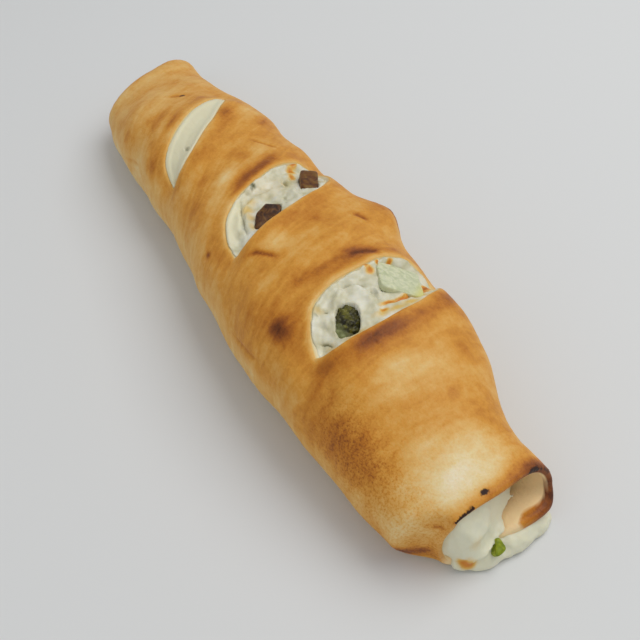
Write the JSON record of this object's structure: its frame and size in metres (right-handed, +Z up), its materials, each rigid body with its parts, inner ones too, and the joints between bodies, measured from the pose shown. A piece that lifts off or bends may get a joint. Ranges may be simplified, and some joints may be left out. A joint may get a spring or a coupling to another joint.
{
  "type": "stromboli",
  "caption": "Baked stromboli roll with a browned crust, diagonal slashes, and melted cheese and pieces of vegetable showing in the slashes and at the open end.",
  "frame": {"origin": "middle of the bounding box, on the plane of the underside", "axes": "+X along the roll from the sealed end to the open end, +Z up, the flat underside on Z = 0"},
  "size_m": [0.3242, 0.0839, 0.0499],
  "materials": {
    "baked_dough": "baked dough crust, golden with browned patches, soft sheen",
    "melted_cheese": "melted white cheese, moist",
    "brown_piece_a": "dark roasted piece, moist",
    "brown_piece_b": "brown roasted piece, moist",
    "dark_green_piece": "dark green floret, rough",
    "pale_green_piece": "pale green slice, glossy",
    "green_chip": "green vegetable chip, glossy"
  },
  "bodies": {
    "root": {"crust": "baked_dough", "cheese": "melted_cheese", "brown_piece_a": "brown_piece_a", "brown_piece_b": "brown_piece_b", "dark_green_piece": "dark_green_piece", "pale_green_piece": "pale_green_piece", "green_chip": "green_chip"}
  },
  "joints": []
}
